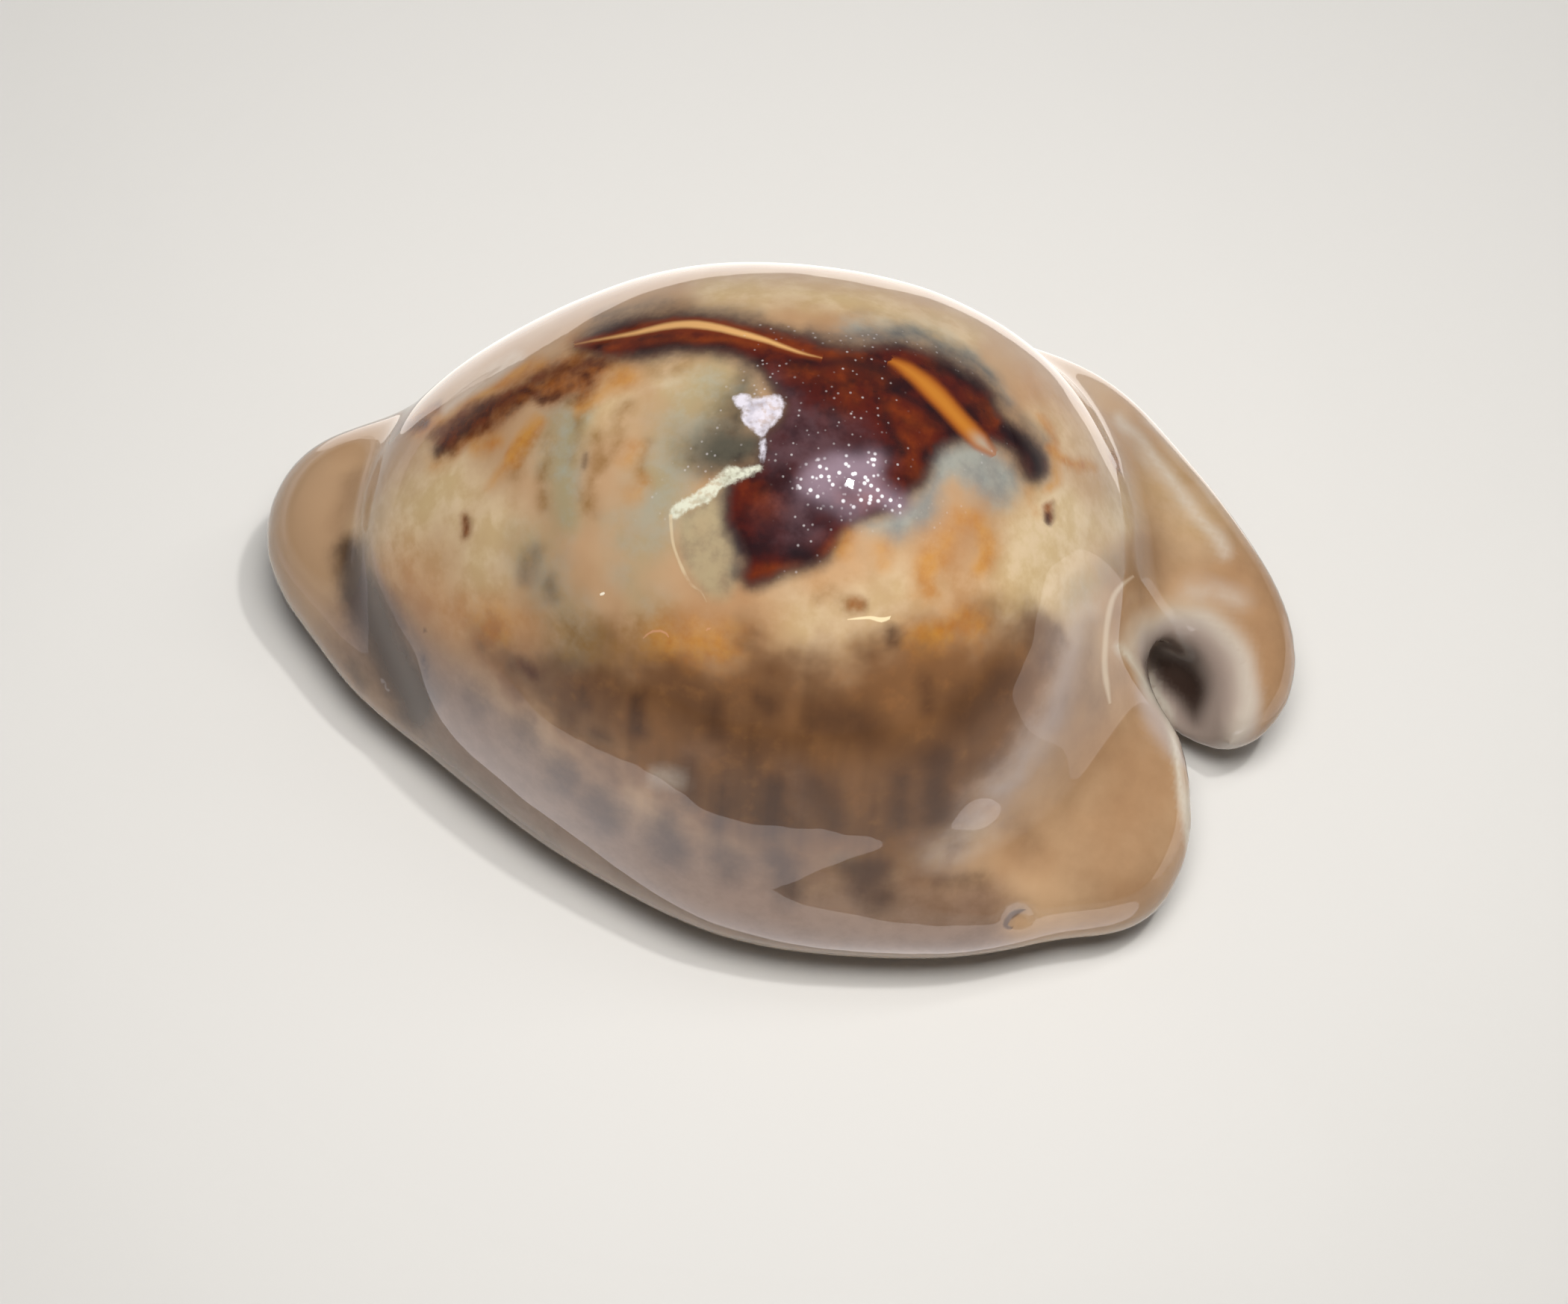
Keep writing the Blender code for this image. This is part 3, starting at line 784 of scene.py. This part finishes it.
colour = cloud.step(0.3, 0.7).over(tone(182, 148, 112), tone(166, 128, 92))
colour = (streak.step(0.35, 0.75) * 0.2).over(colour, tone(146, 108, 72))
colour = tinted(colour, "callus", tone(210, 192, 164), second=tone(196, 172, 140))
colour = tinted(colour, "throat", tone(186, 172, 166))
colour = tinted(colour, "lobe", tone(166, 134, 102))
colour = tinted(colour, "cream", tone(208, 184, 148), second=tone(192, 166, 122))
colour = tinted(colour, "peach", tone(188, 142, 96), weight=0.85, second=tone(172, 118, 68))
flank = amount("umber")
broken = flank + flank * (1 - flank) * 6 * (place.noise(2.6, 3.0) - 0.5)
brown = cloud.step(0.35, 0.65).over(tone(114, 74, 40), tone(90, 58, 34))
colour = (broken.step(0.0, 1.0) * 0.92).over(colour, brown)
colour = (flank * streak.step(0.46, 0.7) * 0.5).over(colour, tone(66, 42, 26))
colour = (flank * fleck.step(0.5, 0.75) * 0.3).over(colour, tone(150, 102, 58))
colour = tinted(colour, "lavender", tone(106, 80, 64), weight=0.85, second=tone(122, 96, 80))
colour = tinted(colour, "green_grey", tone(144, 148, 132), weight=0.85, second=tone(146, 136, 104))
colour = tinted(colour, "olive", tone(126, 88, 36), 1.8, weight=0.8)
colour = tinted(colour, "stripe", tone(170, 156, 148), weight=0.85)
colour = tinted(colour, "amber", tone(184, 126, 46), 1.2, weight=0.9, second=tone(168, 102, 26))
# Painted shade over the hollow behind the back, the hook and the wing.
colour = tinted(colour, "painted_shade_wash", tone(128, 98, 70), weight=0.9)
# Painted shade in the groove behind the front lobe.
colour = tinted(colour, "groove_shade", tone(64, 44, 30))
colour = tinted(colour, "smudge", tone(58, 36, 26), weight=0.85)
colour = tinted(colour, "rust", tone(134, 72, 16), 1.2, second=tone(78, 34, 12))
colour = tinted(colour, "glass", tone(158, 148, 116), weight=0.85, second=tone(120, 112, 92))
colour = tinted(colour, "slate", tone(70, 68, 58), second=tone(44, 42, 38))
colour = tinted(colour, "blue_grey", tone(138, 146, 140), 1.0, weight=0.85, second=tone(116, 124, 124))
colour = tinted(colour, "fringe", tone(60, 60, 64), weight=0.75)
colour = tinted(colour, "wine", tone(52, 20, 14), 1.4, second=tone(104, 46, 14))

# The blotch fades through blue-black into the cream around it, and lets amber through where it is thin.
depth = amount("blotch") + 0.34 * ragged + 0.14 * (grain - 0.5)
colour = (depth.step(-0.7, 0.25) * 0.85 * (1 - 0.75 * amount("amber"))).over(colour, tone(42, 34, 40))
body = place.noise(1.9, 3.0, 0.6).step(0.38, 0.62).over(tone(72, 20, 12), tone(40, 12, 13))
body = (fleck.step(0.48, 0.72) * 0.3).over(body, tone(112, 42, 14))
body = tinted(body, "veil", tone(80, 58, 62), 1.0, second=tone(54, 34, 38))
body = tinted(body, "glow", tone(138, 60, 12), 1.2, weight=0.68, second=tone(104, 40, 12))
body = tinted(body, "ink", tone(24, 14, 18), 0.9, weight=0.95)
colour = depth.step(-0.25, 0.55).over(colour, body)


def inside(name):
    """How far a point is inside a narrow mark, in millimetres."""
    return amount(name + "_width") - abs(amount(name + "_side"))


# The mantle line is bare orange, with a burnt edge.
thin = inside("line_front") + 0.05 * ragged
broad = inside("line_back") + 0.08 * ragged
colour = (thin.step(-0.3, 0.0) * 0.75).over(colour, tone(112, 44, 10))
colour = thin.step(-0.08, 0.12).over(colour, tone(204, 156, 98))
colour = (broad.step(-0.34, 0.05) * 0.85).over(colour, tone(150, 76, 20))
broad_tone = amount("line_end").over(tone(176, 110, 36), tone(164, 148, 128))
colour = broad.step(-0.2, 0.28).over(colour, broad_tone)

# Small white pits lie over the blotch.
pit = place.cells(0.62)
dust = place.cells(0.46)
specks = (1 - pit.step(0.05, 0.14)) * 0.8 + (1 - dust.step(0.06, 0.18)) * fleck.step(0.38, 0.56)
colour = (specks * amount("pitted") * 0.6).over(colour, tone(198, 190, 188))

# A painted highlight: over one bulge, where the small lamp's reflection falls, a pale haze with bright points
# in it is painted into the colour.
glint = amount("painted_lamp_highlight")
glint_cells = place.cells(0.34, 0.9)
painted_glint_points = (1 - glint_cells.step(0.14, 0.36)) * (glint + 0.9 * ragged).step(0.3, 0.8)
colour = ((glint + 0.5 * ragged * glint).step(0.0, 1.1) * 0.62).over(colour, tone(160, 138, 150))
colour = painted_glint_points.over(colour, tone(240, 236, 238))

# Chalk shows where the glaze is chipped away. Away from its edge, painted shade greys it in flecks, as in
# hollows.
crumb = place.noise(0.6, 3.0, 0.65) - 0.5
white_chalk = amount("chalk_white") + 0.5 * crumb
cream_chalk = amount("chalk_cream") + 0.6 * crumb
white_chalk_shade_flecks = white_chalk.step(0.05, 0.3) * fleck.step(0.42, 0.66)
white_chalk_shaded = (white_chalk_shade_flecks * 0.6).over(tone(206, 200, 208), tone(146, 140, 150))
white_body = white_chalk.step(-0.08, 0.14)
cream_body = cream_chalk.step(-0.12, 0.1)
colour = (white_body * (0.5 + 0.45 * grain.step(0.3, 0.6))).over(colour, white_chalk_shaded)
cream_chalk_shade_flecks = cream_chalk.step(0.04, 0.2) * fleck.step(0.45, 0.7)
cream_chalk_shaded = (cream_chalk_shade_flecks * 0.5).over(tone(206, 206, 186), tone(150, 148, 126))
colour = (cream_body * (0.45 + 0.45 * grain.step(0.3, 0.6))).over(colour, cream_chalk_shaded)

# The thin marks: the crack, the scratch, the painted glint, the two arcs and the dark edge of the chip.
cracked = inside("crack").step(-0.05, 0.03) * fleck.step(0.3, 0.6)
colour = (cracked * 0.6).over(colour, tone(206, 186, 152))
colour = (inside("scratch").step(-0.04, 0.04) * 0.9).over(colour, tone(236, 214, 172))
colour = (inside("painted_glint_dot").step(-0.03, 0.03) * 0.9).over(colour, tone(240, 228, 206))
arcs = inside("arc").step(-0.04, 0.03) + inside("arc_small").step(-0.04, 0.03)
colour = (arcs * 0.5).over(colour, tone(206, 150, 120))
colour = (inside("ring").step(-0.08, 0.06) * 0.8).over(colour, tone(72, 50, 40))

# A painted highlight of pale milk along the edges of the glaze, a painted highlight down the crease beside
# the hook, the pale wall of the bowl at the back end, painted shade in its hole, and a painted highlight
# along the rims of the bowl and the wing.
colour = tinted(colour, "painted_sheen", tone(196, 186, 172), weight=0.75)
colour = (inside("painted_crease_highlight").step(-0.12, 0.06) * 0.55).over(colour, tone(214, 196, 170))
colour = tinted(colour, "bowl_wall", tone(172, 154, 142), 0.0)
colour = tinted(colour, "painted_hole_shade", tone(52, 38, 32), 0.0)
colour = tinted(colour, "painted_rim_highlight", tone(204, 196, 178), 0.0, weight=0.9)

# A clear coat mirrors the lights, but hardly where chalk lies bare. The ground under it mirrors nothing.
chalk_seen = white_body + cream_body
chalky = chalk_seen.step(0, 1)
rough = 0.32 + 0.35 * chalky
coat = 1 - 0.8 * chalky
tree.links.new(colour.socket, gloss.inputs["Base Color"])
tree.links.new(rough.socket, gloss.inputs["Roughness"])
tree.links.new(coat.socket, gloss.inputs["Coat Weight"])
gloss.inputs["Specular IOR Level"].default_value = 0.0
gloss.inputs["Coat Roughness"].default_value = 0.016
gloss.inputs["Coat IOR"].default_value = 1.55
relief = 0.4 * (grain - 0.5) + 0.8 * (fleck - 0.5) + 3.0 * chalk_seen * (fleck - 0.2)
bumped = place.node("ShaderNodeBump", {}, {"Strength": 0.25, "Distance": 0.02 * MM, "Height": relief})
tree.links.new(bumped.socket, gloss.inputs["Normal"])

shell_mesh.shade_smooth()
shell_mesh.materials.clear()
shell_mesh.materials.append(glaze)
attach(cowrie, "root")
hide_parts("shell")

# The floor: a wide flat sheet of plain pale card, cut square. The shell rests on it.
FLOOR_REACH = 1.2
floor_form = bmesh.new()
bmesh.ops.create_grid(floor_form, x_segments=1, y_segments=1, size=FLOOR_REACH)
floor_mesh = bpy.data.meshes.new("floor")
floor_form.to_mesh(floor_mesh)
floor_form.free()
floor = bpy.data.objects.new("floor", floor_mesh)
bpy.context.scene.collection.objects.link(floor)
card = bpy.data.materials.new("pale_card")
card.use_nodes = True
card_face = card.node_tree.nodes["Principled BSDF"]
card_face.inputs["Base Color"].default_value = tone(204, 201, 196)
card_face.inputs["Roughness"].default_value = 0.9
card_face.inputs["Specular IOR Level"].default_value = 0.1
floor_mesh.materials.append(card)


# The lights: a soft box overhead, a long strip box at one side, a small lamp nearly overhead, and light cards
# round the shell, whose mirror images in the glaze are the long highlights along its margins.
def soft_box(name, toward, distance, width, height, spread, watts, mirrored):
    """A lit panel that looks at the shell from a direction, so far away, in metres. Its light spreads by so
    many degrees."""
    lamp = bpy.data.lights.new(name, "AREA")
    lamp.shape = "RECTANGLE"
    lamp.size = width
    lamp.size_y = height
    lamp.spread = math.radians(spread)
    lamp.energy = watts
    panel = bpy.data.objects.new(name, lamp)
    bpy.context.scene.collection.objects.link(panel)
    direction = Vector(toward).normalized()
    panel.location = direction * distance + Vector((0, 0, 0.01))
    panel.rotation_euler = direction.to_track_quat("Z", "Y").to_euler()
    panel.visible_camera = False
    panel.visible_glossy = mirrored


soft_box("overhead", (0.08, -0.22, 0.97), distance=0.30, width=0.13, height=0.12,
         spread=46, watts=0.078, mirrored=False)
soft_box("strip_box", (0.414, 0.22, 0.883), distance=0.4, width=0.024, height=0.34,
         spread=180, watts=0.24, mirrored=False)
soft_box("small_lamp", (0.27, -0.03, 0.95), distance=0.6, width=0.028, height=0.028,
         spread=60, watts=0.11, mirrored=True)

CARD_HEIGHT = 0.4
DIM_SPAN = (-46, -12)


def light_card(name, outline, brightness, tint, dim_end=1.0):
    """A thin glowing card on the floor, seen only in the glaze. Its corners are in millimetres. Over the
    dim span it falls to the share dim_end towards the front end of the shell."""
    form = bmesh.new()
    corners = curve_through(outline, closed=True)
    form.faces.new([form.verts.new((x * MM, y * MM, CARD_HEIGHT * MM)) for x, y in corners])
    mesh = bpy.data.meshes.new(name)
    form.to_mesh(mesh)
    form.free()
    sheet = bpy.data.objects.new(name, mesh)
    bpy.context.scene.collection.objects.link(sheet)
    glow = bpy.data.materials.new(name)
    glow.use_nodes = True
    face = glow.node_tree.nodes["Principled BSDF"]
    face.inputs["Base Color"].default_value = (0, 0, 0, 1)
    face.inputs["Specular IOR Level"].default_value = 0.0
    dim = tuple(channel * dim_end for channel in tint)
    spot = Tap(glow.node_tree.nodes.new("ShaderNodeTexCoord").outputs["Object"])
    along = spot.node("ShaderNodeSeparateXYZ", {}, {0: spot})
    shade = along.step(DIM_SPAN[0] * MM, DIM_SPAN[1] * MM).over((*dim, 1), (*tint, 1))
    glow.node_tree.links.new(shade.socket, face.inputs["Emission Color"])
    face.inputs["Emission Strength"].default_value = brightness
    mesh.materials.append(glow)
    sheet.visible_camera = False
    sheet.visible_shadow = False
    sheet.visible_diffuse = False


light_card("card_behind", (
    (-27, 13), (-33, 16), (-38, 22), (-46, 34), (-51, 46), (-40, 51), (-29, 48), (-18, 50), (-8, 45),
    (0, 49), (6, 40), (12, 35), (16, 29), (21, 25), (25, 15), (18, 17), (10, 20), (0, 21), (-10, 19),
    (-19, 15)), brightness=1.7, tint=(1.0, 0.94, 0.88))
light_card("card_before", (
    (-36, 4), (-36, -1), (-42, -8), (-52, -21), (-45, -25), (-39, -28), (-30, -29), (-22, -36),
    (-14, -40), (-2, -36), (5, -37), (11, -35), (17, -32), (23, -28), (31, -26), (31, -20), (24, -14),
    (16, -15), (8, -17), (0, -18.5), (-9, -17.5), (-14, -15.5), (-19, -13), (-23, -12), (-29, -12.5),
    (-33, -9), (-34, -3)), brightness=2.1, tint=(1.0, 0.95, 0.95), dim_end=0.28)
light_card("card_beside", (
    (29, 4), (30, 9), (36, 17), (60, 26), (110, 30), (120, 0), (110, -24), (60, -18), (36, -8),
    (30, -2)), brightness=1.3, tint=(1.0, 0.95, 0.92))
light_card("card_left", (
    (-47, 40), (-42, 32), (-45, 20), (-46, 8), (-50, -3), (-60, -4), (-68, 10),
    (-64, 32)), brightness=0.9, tint=(1.0, 0.95, 0.92))
room = bpy.data.worlds.new("room")
room.use_nodes = True
room_glow = room.node_tree.nodes["Background"]
room_glow.inputs["Color"].default_value = (0.95, 0.97, 1.0, 1.0)
room_glow.inputs["Strength"].default_value = 0.14
bpy.context.scene.world = room

# The camera looks down on the columellar side, from the place where the marks were laid out.
lens = bpy.data.cameras.new("camera")
lens.lens = LENS
lens.sensor_width = SENSOR
lens.clip_start = 0.01
camera = bpy.data.objects.new("camera", lens)
bpy.context.scene.collection.objects.link(camera)
camera.location = Vector(eye) * MM
camera.rotation_euler = Vector(back).to_track_quat("Z", "Y").to_euler()
bpy.context.scene.camera = camera
bpy.context.scene.view_settings.view_transform = "Standard"
